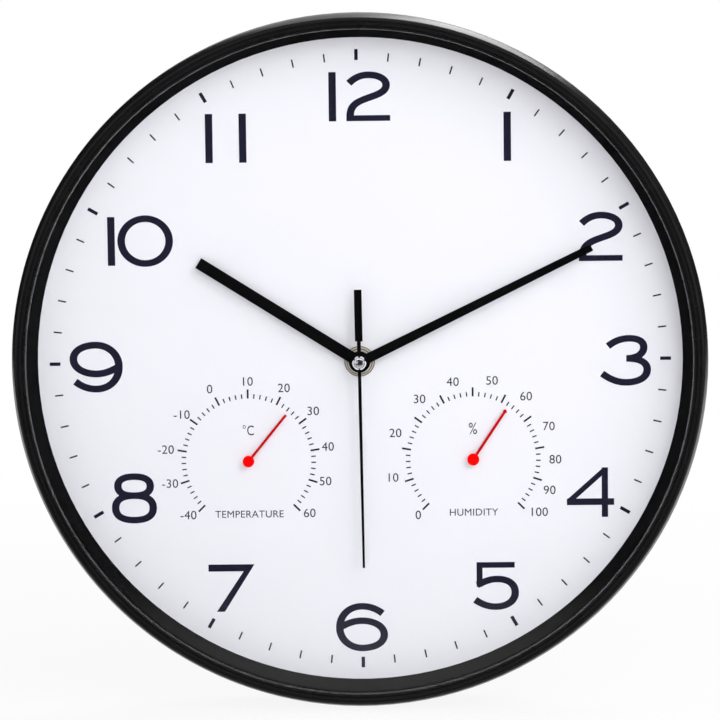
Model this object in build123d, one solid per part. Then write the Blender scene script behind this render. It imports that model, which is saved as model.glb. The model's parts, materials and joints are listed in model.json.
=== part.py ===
from build123d import *
import os
from math import atan2, cos, degrees, hypot, pi, radians, sin

# Round wall clock with a thermometer and a hygrometer on its dial, millimetres.
# The pieces are drawn lying on their back: x to the right and y up as seen from the front,
# z from the wall towards the viewer. They are stood up when they are written out.

# Front frame
frame_radius = 151.0
frame_rear_inset = 1.0
frame_shoulder_inset = 2.0
skirt_wall = 4.6
widest_depth = 14.0
shoulder_depth = 2.4
shoulder_drop = 0.4
shoulder_bulge = 0.35
lip_width = 2.5
lip_height = 3.0
lip_round = 0.7
lip_slope = 0.3
groove_width = 0.4
groove_slope = 0.2
groove_depth = 0.7
ridge_width = 1.1
snap_lugs = 8
snap_lug_angle = 6.0
snap_lug_reach = 1.4
snap_lug_height = 2.0
snap_lug_ramp = 6.0

# Lens, spacer ring, dial and what lies behind them
stack_clearance = 0.4
lens_thickness = 2.0
hand_room = 12.5
spacer_wall = 1.6
spacer_foot_wall = 1.9
spacer_head_wall = 0.8
spacer_cone = 3.3
sheet_thickness = 0.3
plate_thickness = 2.2
gasket_thickness = 1.0

# Back cover and its screws
cover_recess = 0.6
cover_thickness = 2.0
cover_rim_wall = 1.6
cover_rim_height = 5.0
window_gap = 1.2
window_wall = 1.6
window_wall_height = 5.0
cover_screws = 6
cover_screw_inset = 20.0
cover_screw_radius = 1.3
cover_screw_length = 9.0
cover_screw_head_radius = 2.7
cover_screw_head_height = 1.7
cover_cup_wall = 1.6
cover_cup_floor = 1.6
cover_cup_recess = 0.4
screw_recess_span = 1.2
screw_recess_arm = 0.3
post_radius = 3.5
cover_groove_inset = 34.0
cover_groove_width = 2.0
cover_groove_depth = 0.6
vent_slots = 7
vent_length = 24.0
vent_width = 2.2
vent_pitch = 4.4

# Keyhole hanger; the clock hangs this far below the frame's top edge
hang_inset = 46.0
keyhole_radius = 5.0
keyhole_slot_width = 5.0
keyhole_drop = 11.0
hanger_width = 34.0
hanger_margin = 10.0
hanger_thickness = 1.2
hanger_window_margin = 3.5
stake_radius = 1.4
stake_head_radius = 2.4
stake_head_height = 1.0
stake_edge = 4.0

# Hands, measured from the hands' axis
hand_thickness = 0.5
hour_hand_length = 82.0
hour_hand_width = 5.0
hour_hub_radius = 4.6
hour_hand_angle = 302.3
minute_hand_length = 112.0
minute_hand_width = 4.35
minute_hand_tip = 3.1
minute_hub_radius = 3.95
minute_hand_angle = 64.1
second_hand_length = 89.7
second_hand_width = 1.5
second_hand_tip = 1.0
second_hub_radius = 3.6
second_tail_length = 31.8
second_tail_start = 9.4
second_tail_width = 3.3
second_neck_width = 1.65
second_hand_angle = 179.4
first_hand_height = 3.8
hand_spacing = 2.0
cap_radius = 3.2
cap_height = 2.6
cap_tube_radius = 1.1

# Pipes and bushing on the hands' axis
running_clearance = 0.05
press_clearance = 0.02
second_arbor_radius = 0.5
minute_pipe_radius = 1.7
hour_pipe_radius = 2.5
bushing_radius = 3.9
bushing_length = 6.8
bushing_clearance = 0.2
washer_radius = 6.8
washer_thickness = 0.6
nut_radius = 5.6
nut_height = 2.0
nut_notches = 4
nut_notch_width = 1.4
nut_notch_depth = 0.8
gasket_radius = 8.0

# Movement
movement_recess = 5.0
movement_wall = 1.6
movement_corner = 3.0
lid_thickness = 1.5
lid_ledge = 0.8
lid_clearance = 0.1
wheel_clearance = 0.7
wheel_thickness = 1.0
level_gap = 0.5
rear_play = 1.4
face_play = 0.2
tooth_half = 0.6
tooth_tip_half = 0.28
addendum = 0.85
dedendum = 1.15
second_module = 0.35
rotor_pinion_teeth = 8
intermediate_teeth = 48
intermediate_pinion_teeth = 12
second_teeth = 60
third_module = 0.34
second_pinion_teeth = 8
third_teeth = 64
third_pinion_teeth = 8
centre_teeth = 60
motion_module = 0.65
minute_pinion_teeth = 10
motion_teeth = 30
motion_pinion_teeth = 8
hour_teeth = 32
intermediate_direction = 175.0
rotor_direction = 100.0
third_direction = 15.0
motion_direction = 90.0
motion_stem_radius = 1.0
wheel_post_radius = 0.6
rotor_post_radius = 0.45
post_collar_width = 0.4
clutch_reach = 2.5
clutch_thickness = 0.3
pipe_flange_width = 1.5
pipe_flange_thickness = 0.3
hour_hub_wall = 1.2
knob_radius = 6.0
knob_height = 3.2
knob_flutes = 18
knob_flute_radius = 0.6

# Motor and circuit
magnet_radius = 3.0
magnet_height = 3.0
magnet_gap = 0.6
stator_thickness = 0.8
stator_leg = 3.0
stator_web = 2.6
coil_radius = 3.2
coil_flange_radius = 3.6
coil_flange_thickness = 0.8
coil_core_width = 2.4
coil_length = 11.2
coil_rise = 9.9
board_width = 14.0
board_height = 9.5
board_thickness = 0.8
board_post_radius = 1.2
chip_radius = 2.6
chip_height = 0.9
crystal_radius = 1.0
crystal_length = 6.0

# Battery bay
battery_radius = 7.05
battery_length = 49.2
battery_nub_radius = 2.6
battery_nub_height = 1.3
battery_edge = 0.8
battery_gap = 0.4
contact_thickness = 0.4
contact_width = 9.0
contact_depth = 9.0
contact_gap = 0.1
spring_rise = 1.9

# Gauges
gauge_offset = 49.0
gauge_drop = 43.3
gauge_case_radius = 17.0
gauge_case_wall = 1.2
gauge_case_depth = 10.0
gauge_vents = 6
gauge_vent_width = 3.0
gauge_vent_length = 7.0
gauge_bridge_width = 5.0
gauge_bridge_thickness = 1.2
gauge_ear_radius = 3.5
gauge_ear_thickness = 2.0
gauge_screw_radius = 1.0
gauge_screw_bite = 1.5
gauge_screw_head_radius = 1.9
gauge_screw_head_height = 1.2
gauge_arbor_radius = 0.6
gauge_arbor_hole = 1.5
collet_radius = 1.6
coil_strip_thickness = 0.3
coil_strip_width = 4.5
coil_strip_pitch = 1.4
coil_half_turns = 13
coil_end_gap = 0.15
anchor_post_radius = 0.8
pointer_height = 2.0
pointer_thickness = 0.4
pointer_disc_thickness = 0.8
thermometer_pointer_length = 26.2
thermometer_pointer_width = 1.1
thermometer_disc_radius = 2.5
thermometer_angle = 39.35
hygrometer_pointer_length = 26.0
hygrometer_pointer_width = 1.2
hygrometer_disc_radius = 2.6
hygrometer_club_radius = 0.85
hygrometer_angle = 33.65

# Levels from the wall to the front
cover_front = cover_recess + cover_thickness
movement_depth = battery_gap + 2 * battery_radius + contact_gap + movement_wall
movement_front = movement_recess + movement_depth
plate_back = movement_front + gasket_thickness
plate_front = plate_back + plate_thickness
dial_face = plate_front + sheet_thickness
lens_back = dial_face + hand_room
lens_front = lens_back + lens_thickness
frame_front = lens_front + lip_height
hour_hand_low = dial_face + first_hand_height
minute_hand_low = hour_hand_low + hand_spacing
second_hand_low = minute_hand_low + hand_spacing
cap_low = second_hand_low + hand_thickness
pointer_low = dial_face + pointer_height

# Hanging point above the hands' axis; the part's origin is there, on the wall plane
hang_height = frame_radius - hang_inset

# Radii of the case
frame_bore = frame_radius - skirt_wall
stack_radius = frame_bore - stack_clearance
lip_radius = frame_bore - lip_width
spacer_top_radius = lip_radius - lip_slope
spacer_foot_radius = spacer_top_radius - spacer_cone
cover_screw_circle = stack_radius - cover_screw_inset
cover_groove_radius = stack_radius - cover_groove_inset
cover_cup_radius = cover_screw_head_radius + cover_cup_recess
cover_cup_top = cover_recess + cover_cup_recess + cover_screw_head_height + cover_cup_floor
cover_head_top = cover_cup_top - cover_cup_floor

# Levels inside the movement
lid_front = movement_recess + lid_thickness
second_low = lid_front + rear_play
second_high = second_low + wheel_thickness
third_low = second_high + level_gap
third_high = third_low + wheel_thickness
flange_low = third_high + 2 * face_play
centre_low = flange_low + pipe_flange_thickness + running_clearance
centre_high = centre_low + wheel_thickness
stator_low = centre_high + face_play
stator_high = stator_low + stator_thickness
motion_low = stator_high + face_play
motion_high = motion_low + wheel_thickness
minute_pinion_low = motion_low - face_play
minute_pinion_high = motion_high + face_play
hour_low = minute_pinion_high + level_gap
hour_high = hour_low + wheel_thickness
front_wall = movement_front - movement_wall
magnet_low = third_high + level_gap
magnet_high = magnet_low + magnet_height

# Wheel centres in the movement
third_distance = third_module * (second_pinion_teeth + third_teeth) / 2
centre_module = 2 * third_distance / (third_pinion_teeth + centre_teeth)


def polar(distance, direction):
    return (distance * cos(radians(direction)), distance * sin(radians(direction)))


def heading(start, end):
    return degrees(atan2(end[1] - start[1], end[0] - start[0]))


def tip_radius(teeth, module):
    return module * (teeth / 2 + addendum)


hands_at = (0.0, 0.0)
intermediate_at = polar(
    second_module * (second_teeth + intermediate_pinion_teeth) / 2, intermediate_direction
)
rotor_step = polar(
    second_module * (intermediate_teeth + rotor_pinion_teeth) / 2, rotor_direction
)
rotor_at = (intermediate_at[0] + rotor_step[0], intermediate_at[1] + rotor_step[1])
third_at = polar(third_distance, third_direction)
motion_at = polar(
    motion_module * (minute_pinion_teeth + motion_teeth) / 2, motion_direction
)
coil_at = (rotor_at[0] - stator_leg, rotor_at[1] + coil_rise)

# Room for the wheels and the battery, and the box around both
hands_axis_reach = max(
    tip_radius(second_teeth, second_module),
    tip_radius(centre_teeth, centre_module),
    tip_radius(hour_teeth, motion_module),
)
room_low = -hands_axis_reach - wheel_clearance
room_high = max(
    motion_at[1] + tip_radius(motion_teeth, motion_module),
    coil_at[1] + coil_flange_radius,
) + wheel_clearance
bay_half_length = (
    battery_length / 2 + battery_nub_height / 2 + spring_rise / 2 + contact_thickness + contact_gap
)
room_half_width = max(
    bay_half_length,
    third_at[0] + tip_radius(third_teeth, third_module) + wheel_clearance,
    coil_length / 2 - coil_at[0] + stator_leg + wheel_clearance,
)
bay_high = room_low - movement_wall
bay_low = bay_high - 2 * battery_radius - 2 * battery_gap
movement_half_width = room_half_width + movement_wall
movement_low = bay_low - movement_wall
movement_high = room_high + movement_wall
movement_middle = (movement_low + movement_high) / 2
movement_height = movement_high - movement_low
battery_at = (
    room_half_width - contact_thickness - contact_gap - battery_nub_height - battery_length / 2,
    (bay_low + bay_high) / 2,
    movement_recess + battery_gap + battery_radius,
)


# Shape helpers
def prism(sketch, low, high):
    return Pos(0, 0, low) * extrude(sketch, high - low)


def disc(radius, low, high):
    return prism(Circle(radius), low, high)


def ring(outer, inner, low, high):
    return prism(Circle(outer) - Circle(inner), low, high)


def slab(left, right, bottom, top, low, high):
    outline = Pos((left + right) / 2, (bottom + top) / 2) * Rectangle(right - left, top - bottom)
    return prism(outline, low, high)


def turned(*edges):
    """Solid of revolution about z from edges in (radius, z)."""
    face = make_face([edge for part in edges for edge in part.edges()])
    return revolve(Plane.XZ * face, Axis.Z)


def bowed(start, end, rise):
    """Arc from start to end that stands `rise` off its chord, to the left of its course."""
    across, along = end[0] - start[0], end[1] - start[1]
    length = hypot(across, along)
    middle = (
        (start[0] + end[0]) / 2 - rise * along / length,
        (start[1] + end[1]) / 2 + rise * across / length,
    )
    return ThreePointArc(start, middle, end)


def domed(radius, base, top):
    """Spherical cap about z on a circle at height `base`, with its crown at `top`."""
    rise = abs(top - base)
    up = 1 if top > base else -1
    sphere = (radius**2 + rise**2) / (2 * rise)
    turn = atan2(radius, sphere - rise) / 2
    middle = (sphere * sin(turn), top - up * sphere * (1 - cos(turn)))
    return turned(
        Polyline((0, top), (0, base), (radius, base)),
        ThreePointArc((radius, base), middle, (0, top)),
    )


def around(count, first, shape):
    """Copies of a shape turned about z, the first one by `first` degrees."""
    return [Rot(0, 0, first + 360 * i / count) * shape for i in range(count)]


def bar(start, end, start_width, end_width):
    """Flat tapering bar along +y."""
    return make_face(
        Polyline(
            (-start_width / 2, start),
            (start_width / 2, start),
            (end_width / 2, end),
            (-end_width / 2, end),
            close=True,
        )
    )


def clockwise(angle, shape):
    return Rot(0, 0, -angle) * shape


def at(place, shape):
    return Pos(place[0], place[1], 0) * shape


# Wheels
def toothed(teeth, module, phase, low, high):
    """Toothed disc with radial flanks inside the pitch circle and tapered tips outside it."""
    pitch_radius = teeth * module / 2
    root = pitch_radius - dedendum * module
    tip = pitch_radius + addendum * module
    flank_turn = tooth_half * module / pitch_radius
    tip_turn = tooth_tip_half * module / tip
    tooth = (
        (root, -flank_turn),
        (pitch_radius, -flank_turn),
        (tip, -tip_turn),
        (tip, tip_turn),
        (pitch_radius, flank_turn),
        (root, flank_turn),
    )
    corners = []
    for i in range(teeth):
        middle = radians(phase) + 2 * pi * i / teeth
        for radius, turn in tooth:
            corners.append((radius * cos(middle + turn), radius * sin(middle + turn)))
    return prism(make_face(Polyline(*corners, close=True)), low, high)


def meshing_phase(leader_phase, leader_teeth, follower_teeth, direction):
    """Phase of a follower in mesh with its leader, which lies back along `direction`."""
    pitch = 360 / leader_teeth
    lag = (direction - leader_phase + pitch / 2) % pitch - pitch / 2
    return direction + 180 + (lag * leader_teeth + 180) / follower_teeth


# Case
def front_frame():
    lip_top = (lip_radius + lip_round, frame_front)
    lip_side = (lip_radius, frame_front - lip_round)
    groove_floor = frame_front - groove_depth
    ridge_start = lip_top[0] + groove_width + 2 * groove_slope
    outer_groove = ridge_start + ridge_width
    shoulder_start = outer_groove + groove_width + 2 * groove_slope
    shoulder_top = frame_front - shoulder_drop
    shoulder = (frame_radius - frame_shoulder_inset, frame_front - shoulder_depth)
    widest = (frame_radius, frame_front - widest_depth)
    body = turned(
        Polyline(
            lip_side,
            (spacer_top_radius, lens_front),
            (frame_bore, lens_front),
            (frame_bore, 0),
            (frame_radius - frame_rear_inset, 0),
            widest,
        ),
        TangentArc(widest, shoulder, tangent=(0, 1)),
        bowed(shoulder, (shoulder_start, shoulder_top), -shoulder_bulge),
        Polyline(
            (shoulder_start, shoulder_top),
            (shoulder_start - groove_slope, groove_floor),
            (outer_groove + groove_slope, groove_floor),
            (outer_groove, frame_front),
            (ridge_start, frame_front),
            (ridge_start - groove_slope, groove_floor),
            (lip_top[0] + groove_slope, groove_floor),
            lip_top,
        ),
        TangentArc(lip_side, lip_top, tangent=(0, 1)),
    )
    lug_top = plate_back - face_play
    lug_face = make_face(
        Polyline(
            (frame_bore + snap_lug_reach, lug_top),
            (frame_bore - snap_lug_reach, lug_top),
            (frame_bore - snap_lug_reach, lug_top - snap_lug_height / 2),
            (frame_bore + snap_lug_reach, lug_top - snap_lug_ramp),
            close=True,
        )
    )
    lug = revolve(Plane.XZ * lug_face, Axis.Z, revolution_arc=snap_lug_angle)
    return body + around(snap_lugs, -snap_lug_angle / 2, lug)


def lens():
    return disc(stack_radius, lens_back, lens_front)


def spacer_ring():
    foot = dial_face + spacer_wall
    head = lens_back - spacer_wall
    return turned(
        Polyline(
            (spacer_foot_radius, dial_face),
            (stack_radius, dial_face),
            (stack_radius, foot),
            (spacer_foot_radius + spacer_foot_wall, foot),
            (spacer_top_radius + spacer_head_wall, head),
            (stack_radius, head),
            (stack_radius, lens_back),
            (spacer_top_radius, lens_back),
            close=True,
        )
    )


def gauge_places():
    return {"thermometer": (-gauge_offset, -gauge_drop), "hygrometer": (gauge_offset, -gauge_drop)}


def dial_holes(low, high):
    centre = disc(bushing_radius + bushing_clearance, low, high)
    return [centre] + [at(p, disc(gauge_arbor_hole, low, high)) for p in gauge_places().values()]


def dial_sheet():
    return disc(stack_radius, plate_front, dial_face) - dial_holes(plate_front, dial_face)


def gauge_ear_places():
    reach = gauge_case_radius + gauge_ear_radius - gauge_case_wall
    return [(reach, 0), (-reach, 0)]


def dial_plate():
    plate = disc(stack_radius, plate_back, plate_front) - dial_holes(plate_back, plate_front)
    bite = disc(gauge_screw_radius + press_clearance, plate_back, plate_back + gauge_screw_bite)
    for place in gauge_places().values():
        plate -= [at(place, at(ear, bite)) for ear in gauge_ear_places()]
    pilot = cover_screw_radius + press_clearance
    post = ring(post_radius, pilot, cover_cup_top, plate_back)
    return plate + around(cover_screws, 0, Pos(cover_screw_circle, 0, 0) * post)


def keyhole():
    entry = Pos(0, hang_height - keyhole_drop) * Circle(keyhole_radius)
    rest = Pos(0, hang_height) * Circle(keyhole_slot_width / 2)
    slot = Pos(0, hang_height - keyhole_drop / 2) * Rectangle(keyhole_slot_width, keyhole_drop)
    return entry + rest + slot


keyhole_top = hang_height + keyhole_slot_width / 2
keyhole_bottom = hang_height - keyhole_drop - keyhole_radius
hanger_top = keyhole_top + hanger_margin
hanger_bottom = keyhole_bottom - hanger_margin


def stake_places():
    across = hanger_width / 2 - stake_edge
    heights = (hanger_top - stake_edge, hanger_bottom + stake_edge)
    return [(side * across, height) for side in (-1, 1) for height in heights]


def hanger_plate():
    middle = (hanger_top + hanger_bottom) / 2
    outline = Pos(0, middle) * RectangleRounded(hanger_width, hanger_top - hanger_bottom, stake_edge / 2)
    hole = Circle(stake_radius + running_clearance)
    outline -= [Pos(*place) * hole for place in stake_places()]
    return prism(outline - keyhole(), cover_front, cover_front + hanger_thickness)


def back_cover():
    window_half = movement_half_width + window_gap
    window_outline = Rectangle(2 * window_half, movement_height + 2 * window_gap)
    window = Pos(0, movement_middle) * window_outline
    wall_outline = Rectangle(
        2 * (window_half + window_wall), movement_height + 2 * (window_gap + window_wall)
    )
    wall = Pos(0, movement_middle) * wall_outline
    cover = disc(stack_radius, cover_recess, cover_front)
    cover += ring(
        stack_radius, stack_radius - cover_rim_wall, cover_recess, cover_front + cover_rim_height
    )
    cover += prism(wall, cover_recess, cover_front + window_wall_height)
    cup_wall = disc(cover_cup_radius + cover_cup_wall, cover_recess, cover_cup_top)
    cover += around(cover_screws, 0, Pos(cover_screw_circle, 0, 0) * cup_wall)
    cover -= prism(window, cover_recess, cover_front + window_wall_height)
    cup = disc(cover_cup_radius, cover_recess, cover_head_top)
    hole = disc(cover_screw_radius + 2 * running_clearance, cover_head_top, cover_cup_top)
    cover -= around(cover_screws, 0, Pos(cover_screw_circle, 0, 0) * (cup + hole))
    hanger_window = slab(
        -keyhole_radius - hanger_window_margin,
        keyhole_radius + hanger_window_margin,
        keyhole_bottom - hanger_window_margin,
        keyhole_top + hanger_window_margin,
        cover_recess,
        cover_front,
    )
    cover -= hanger_window
    cover -= ring(
        cover_groove_radius + cover_groove_width / 2,
        cover_groove_radius - cover_groove_width / 2,
        cover_recess,
        cover_recess + cover_groove_depth,
    )
    slot = prism(SlotOverall(vent_length, vent_width), cover_recess, cover_front)
    for place in gauge_places().values():
        rows = [(i - (vent_slots - 1) / 2) * vent_pitch for i in range(vent_slots)]
        cover -= [at(place, Pos(0, row, 0) * slot) for row in rows]
    stake_top = cover_front + hanger_thickness
    stake = disc(stake_radius, cover_front, stake_top)
    stake += disc(stake_head_radius, stake_top, stake_top + stake_head_height)
    return cover + [at(place, stake) for place in stake_places()]


def cross_recess(radius, low, depth):
    span = screw_recess_span * radius
    arm = screw_recess_arm * radius
    return prism(Rectangle(span, arm) + Rectangle(arm, span), low, low + depth)


def back_cover_screws():
    head_low = cover_head_top - cover_screw_head_height
    screw = disc(cover_screw_head_radius, head_low, cover_head_top)
    screw += disc(cover_screw_radius, cover_head_top, cover_head_top + cover_screw_length)
    screw -= cross_recess(cover_screw_head_radius, head_low, cover_screw_head_height / 2)
    return around(cover_screws, 0, Pos(cover_screw_circle, 0, 0) * screw)


# Hands and their fixings
def hour_hand():
    outline = Circle(hour_hub_radius) + bar(0, hour_hand_length, hour_hand_width, hour_hand_width)
    outline -= Circle(hour_pipe_radius + press_clearance)
    return clockwise(hour_hand_angle, prism(outline, hour_hand_low, hour_hand_low + hand_thickness))


def minute_hand():
    outline = Circle(minute_hub_radius)
    outline += bar(0, minute_hand_length, minute_hand_width, minute_hand_tip)
    outline -= Circle(minute_pipe_radius + press_clearance)
    plate = prism(outline, minute_hand_low, minute_hand_low + hand_thickness)
    return clockwise(minute_hand_angle, plate)


def second_hand():
    outline = Circle(second_hub_radius)
    outline += bar(0, second_hand_length, second_hand_width, second_hand_tip)
    outline += bar(-second_tail_start, 0, second_neck_width, second_neck_width)
    outline += bar(-second_tail_length, -second_tail_start, second_tail_width, second_tail_width)
    outline -= Circle(cap_tube_radius + press_clearance)
    plate = prism(outline, second_hand_low, second_hand_low + hand_thickness)
    return clockwise(second_hand_angle, plate)


def second_hand_cap():
    dome = domed(cap_radius, cap_low, cap_low + cap_height)
    tube_low = second_hand_low - hand_spacing / 3
    tube = disc(cap_tube_radius, tube_low, cap_low)
    bore = disc(second_arbor_radius + press_clearance, tube_low, cap_low + cap_height / 2)
    return dome + tube - bore


def second_arbor():
    return disc(second_arbor_radius, movement_recess + face_play, cap_low + cap_height / 2 - face_play)


def dial_washer():
    inner = bushing_radius + bushing_clearance
    return ring(washer_radius, inner, dial_face, dial_face + washer_thickness)


def fixing_nut():
    low = dial_face + washer_thickness
    nut = ring(nut_radius, bushing_radius + press_clearance, low, low + nut_height)
    notch = slab(
        nut_radius - nut_notch_depth,
        nut_radius + nut_notch_depth,
        -nut_notch_width / 2,
        nut_notch_width / 2,
        low + nut_height / 2,
        low + nut_height,
    )
    return nut - around(nut_notches, 0, notch)


def movement_gasket():
    inner = bushing_radius + bushing_clearance
    return ring(gasket_radius, inner, movement_front, plate_back)


# Movement box
def movement_housing():
    outline = Pos(0, movement_middle) * RectangleRounded(
        2 * movement_half_width, movement_height, movement_corner
    )
    box = prism(outline, movement_recess, movement_front)
    box -= slab(
        -room_half_width, room_half_width, room_low, room_high, movement_recess, front_wall
    )
    box -= slab(
        -room_half_width - lid_ledge,
        room_half_width + lid_ledge,
        room_low - lid_ledge,
        room_high + lid_ledge,
        movement_recess,
        lid_front,
    )
    box -= slab(-room_half_width, room_half_width, bay_low, bay_high, movement_recess, front_wall)
    box += disc(bushing_radius, movement_front, movement_front + bushing_length)
    stem_boss = ring(
        2 * motion_stem_radius, motion_stem_radius + running_clearance, hour_high + level_gap, front_wall
    )
    box += at(motion_at, stem_boss)
    box += [at(p, disc(board_post_radius, board_high(), front_wall)) for p in board_post_places()]
    box += [at(p, disc(board_post_radius, stator_high, front_wall)) for p in stator_post_places()]
    return box - disc(
        hour_pipe_radius + running_clearance, front_wall, movement_front + bushing_length
    )


def movement_lid():
    half_width = room_half_width + lid_ledge - lid_clearance
    lid = slab(
        -half_width,
        half_width,
        room_low - lid_ledge + lid_clearance,
        room_high + lid_ledge - lid_clearance,
        movement_recess,
        lid_front,
    )
    lid -= disc(second_arbor_radius + running_clearance, movement_recess, lid_front)
    lid -= at(motion_at, disc(motion_stem_radius + running_clearance, movement_recess, lid_front))
    posts = (
        (intermediate_at, wheel_post_radius, second_low - 2 * face_play, third_high + face_play),
        (third_at, wheel_post_radius, third_low - face_play, centre_high + 2 * face_play),
        (rotor_at, rotor_post_radius, third_low - 2 * face_play, magnet_high + face_play),
    )
    for place, radius, collar_top, top in posts:
        lid += at(place, disc(radius + post_collar_width, lid_front, collar_top))
        lid += at(place, disc(radius, collar_top, top))
    return lid


# Going train
def intermediate_pinion_phase():
    return meshing_phase(0, second_teeth, intermediate_pinion_teeth, heading(hands_at, intermediate_at))


def intermediate_wheel():
    wheel = toothed(intermediate_teeth, second_module, 0, third_low, third_high)
    wheel += toothed(
        intermediate_pinion_teeth,
        second_module,
        intermediate_pinion_phase(),
        second_low - face_play,
        third_low,
    )
    bore = disc(wheel_post_radius + running_clearance, second_low - face_play, third_high)
    return at(intermediate_at, wheel - bore)


def rotor_pinion():
    phase = meshing_phase(
        0, intermediate_teeth, rotor_pinion_teeth, heading(intermediate_at, rotor_at)
    )
    low = third_low - face_play
    wheel = toothed(rotor_pinion_teeth, second_module, phase, low, magnet_low - face_play)
    wheel += disc(magnet_radius, magnet_low - face_play, magnet_low)
    wheel += disc(magnet_radius / 2, magnet_low, magnet_high)
    return at(rotor_at, wheel - disc(rotor_post_radius + running_clearance, low, magnet_high))


def rotor_magnet():
    return at(rotor_at, ring(magnet_radius, magnet_radius / 2 + press_clearance, magnet_low, magnet_high))


def second_wheel():
    wheel = toothed(second_teeth, second_module, 0, second_low, second_high)
    wheel += toothed(second_pinion_teeth, third_module, 0, second_high, third_high + face_play)
    wheel += disc(3 * second_arbor_radius, lid_front + face_play, second_low)
    bore = disc(second_arbor_radius + press_clearance, lid_front + face_play, third_high + face_play)
    return wheel - bore


def third_wheel():
    phase = meshing_phase(0, second_pinion_teeth, third_teeth, heading(hands_at, third_at))
    wheel = toothed(third_teeth, third_module, phase, third_low, third_high)
    pinion_top = centre_high + face_play
    wheel += toothed(third_pinion_teeth, centre_module, 0, third_high, pinion_top)
    return at(third_at, wheel - disc(wheel_post_radius + running_clearance, third_low, pinion_top))


def centre_wheel():
    phase = meshing_phase(0, third_pinion_teeth, centre_teeth, heading(third_at, hands_at))
    wheel = toothed(centre_teeth, centre_module, phase, centre_low, centre_high)
    return wheel - disc(minute_pipe_radius + running_clearance, centre_low, centre_high)


def clutch_spring():
    inner = minute_pipe_radius + press_clearance
    outer = inner + clutch_reach
    top = minute_pinion_low
    low = centre_high + running_clearance
    return turned(
        Polyline(
            (inner, top - clutch_thickness),
            (outer, low),
            (outer, low + clutch_thickness),
            (inner, top),
            close=True,
        )
    )


def minute_pipe():
    pipe = disc(minute_pipe_radius, flange_low, minute_hand_low + 2 * hand_thickness)
    pipe += disc(minute_pipe_radius + pipe_flange_width, flange_low, flange_low + pipe_flange_thickness)
    pipe += toothed(minute_pinion_teeth, motion_module, 0, minute_pinion_low, minute_pinion_high)
    bore = second_arbor_radius + running_clearance
    return pipe - disc(bore, flange_low, minute_hand_low + 2 * hand_thickness)


def motion_wheel():
    phase = meshing_phase(0, minute_pinion_teeth, motion_teeth, heading(hands_at, motion_at))
    wheel = toothed(motion_teeth, motion_module, phase, motion_low, motion_high)
    wheel += toothed(motion_pinion_teeth, motion_module, 0, motion_high, hour_high + face_play)
    wheel += disc(motion_stem_radius, knob_floor(), front_wall - face_play)
    return at(motion_at, wheel)


def hour_wheel():
    phase = meshing_phase(0, motion_pinion_teeth, hour_teeth, heading(motion_at, hands_at))
    wheel = toothed(hour_teeth, motion_module, phase, hour_low, hour_high)
    wheel += disc(hour_pipe_radius + hour_hub_wall, hour_low, front_wall - face_play)
    wheel += disc(hour_pipe_radius, hour_low, hour_hand_low + 2 * hand_thickness)
    bore = minute_pipe_radius + running_clearance
    return wheel - disc(bore, hour_low, hour_hand_low + 2 * hand_thickness)


def knob_floor():
    return movement_recess - knob_height + knob_height / 3


def setting_knob():
    high = movement_recess - face_play
    low = high - knob_height
    knob = disc(knob_radius, low, high)
    knob -= around(knob_flutes, 0, Pos(knob_radius, 0, 0) * disc(knob_flute_radius, low, high))
    return at(motion_at, knob - disc(motion_stem_radius + press_clearance, knob_floor(), high))


# Motor and circuit
stator_left = coil_at[0] - coil_length / 2 - stator_leg
stator_right = coil_at[0] + coil_length / 2 + stator_leg
stator_bottom = rotor_at[1] - magnet_radius - magnet_gap - stator_web
stator_bridge = rotor_at[1] + magnet_radius + magnet_gap + stator_web


def stator_post_places():
    column = stator_left + stator_leg / 2
    return [(column, stator_bottom + stator_leg / 2), (column, stator_bridge)]


def stator_plate():
    plate = slab(
        stator_left, stator_right, stator_bottom, coil_at[1] + coil_core_width / 2, stator_low, stator_high
    )
    plate -= slab(
        stator_left + stator_leg,
        stator_right - stator_leg,
        stator_bridge,
        coil_at[1] + coil_core_width,
        stator_low,
        stator_high,
    )
    return plate - at(rotor_at, disc(magnet_radius + magnet_gap, stator_low, stator_high))


def coil_core():
    return slab(
        stator_left,
        stator_right,
        coil_at[1] - coil_core_width / 2,
        coil_at[1] + coil_core_width / 2,
        stator_low - stator_thickness,
        stator_low,
    )


def along_coil(shape):
    """A shape drawn about z, laid along x on the coil's middle line."""
    middle = stator_low - stator_thickness / 2
    return Pos(coil_at[0], coil_at[1], middle) * Rot(0, 90, 0) * shape


def coil_bobbin():
    half = coil_length / 2 - face_play
    tube = coil_core_width / 2 + coil_flange_thickness
    body = disc(tube, -half, half)
    for end in (-half, half - coil_flange_thickness):
        body += disc(coil_flange_radius, end, end + coil_flange_thickness)
    gap = press_clearance
    return along_coil(body) - slab(
        stator_left,
        stator_right,
        coil_at[1] - coil_core_width / 2 - gap,
        coil_at[1] + coil_core_width / 2 + gap,
        stator_low - stator_thickness - gap,
        stator_low + gap,
    )


def coil_winding():
    half = coil_length / 2 - face_play - coil_flange_thickness
    inner = coil_core_width / 2 + coil_flange_thickness + press_clearance
    return along_coil(ring(coil_radius, inner, -half, half))


def board_high():
    return hour_high + face_play


def board_middle():
    return (
        room_half_width - wheel_clearance - board_width / 2,
        room_high - wheel_clearance - board_height / 2,
    )


def board_post_places():
    across, up = board_middle()
    reach = board_width / 2 - board_post_radius
    return [(across - reach, up), (across + reach, up)]


def circuit_board():
    board = prism(Rectangle(board_width, board_height), board_high() - board_thickness, board_high())
    return at(board_middle(), board)


def circuit_chip():
    low = board_high() - board_thickness
    across, up = board_middle()
    return at((across - board_width / 4, up), domed(chip_radius, low, low - chip_height))


def quartz_crystal():
    across, up = board_middle()
    can = Rot(90, 0, 0) * disc(crystal_radius, -crystal_length / 2, crystal_length / 2)
    rest = board_high() - board_thickness - crystal_radius - press_clearance
    return Pos(across + board_width / 4, up, rest) * can


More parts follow.
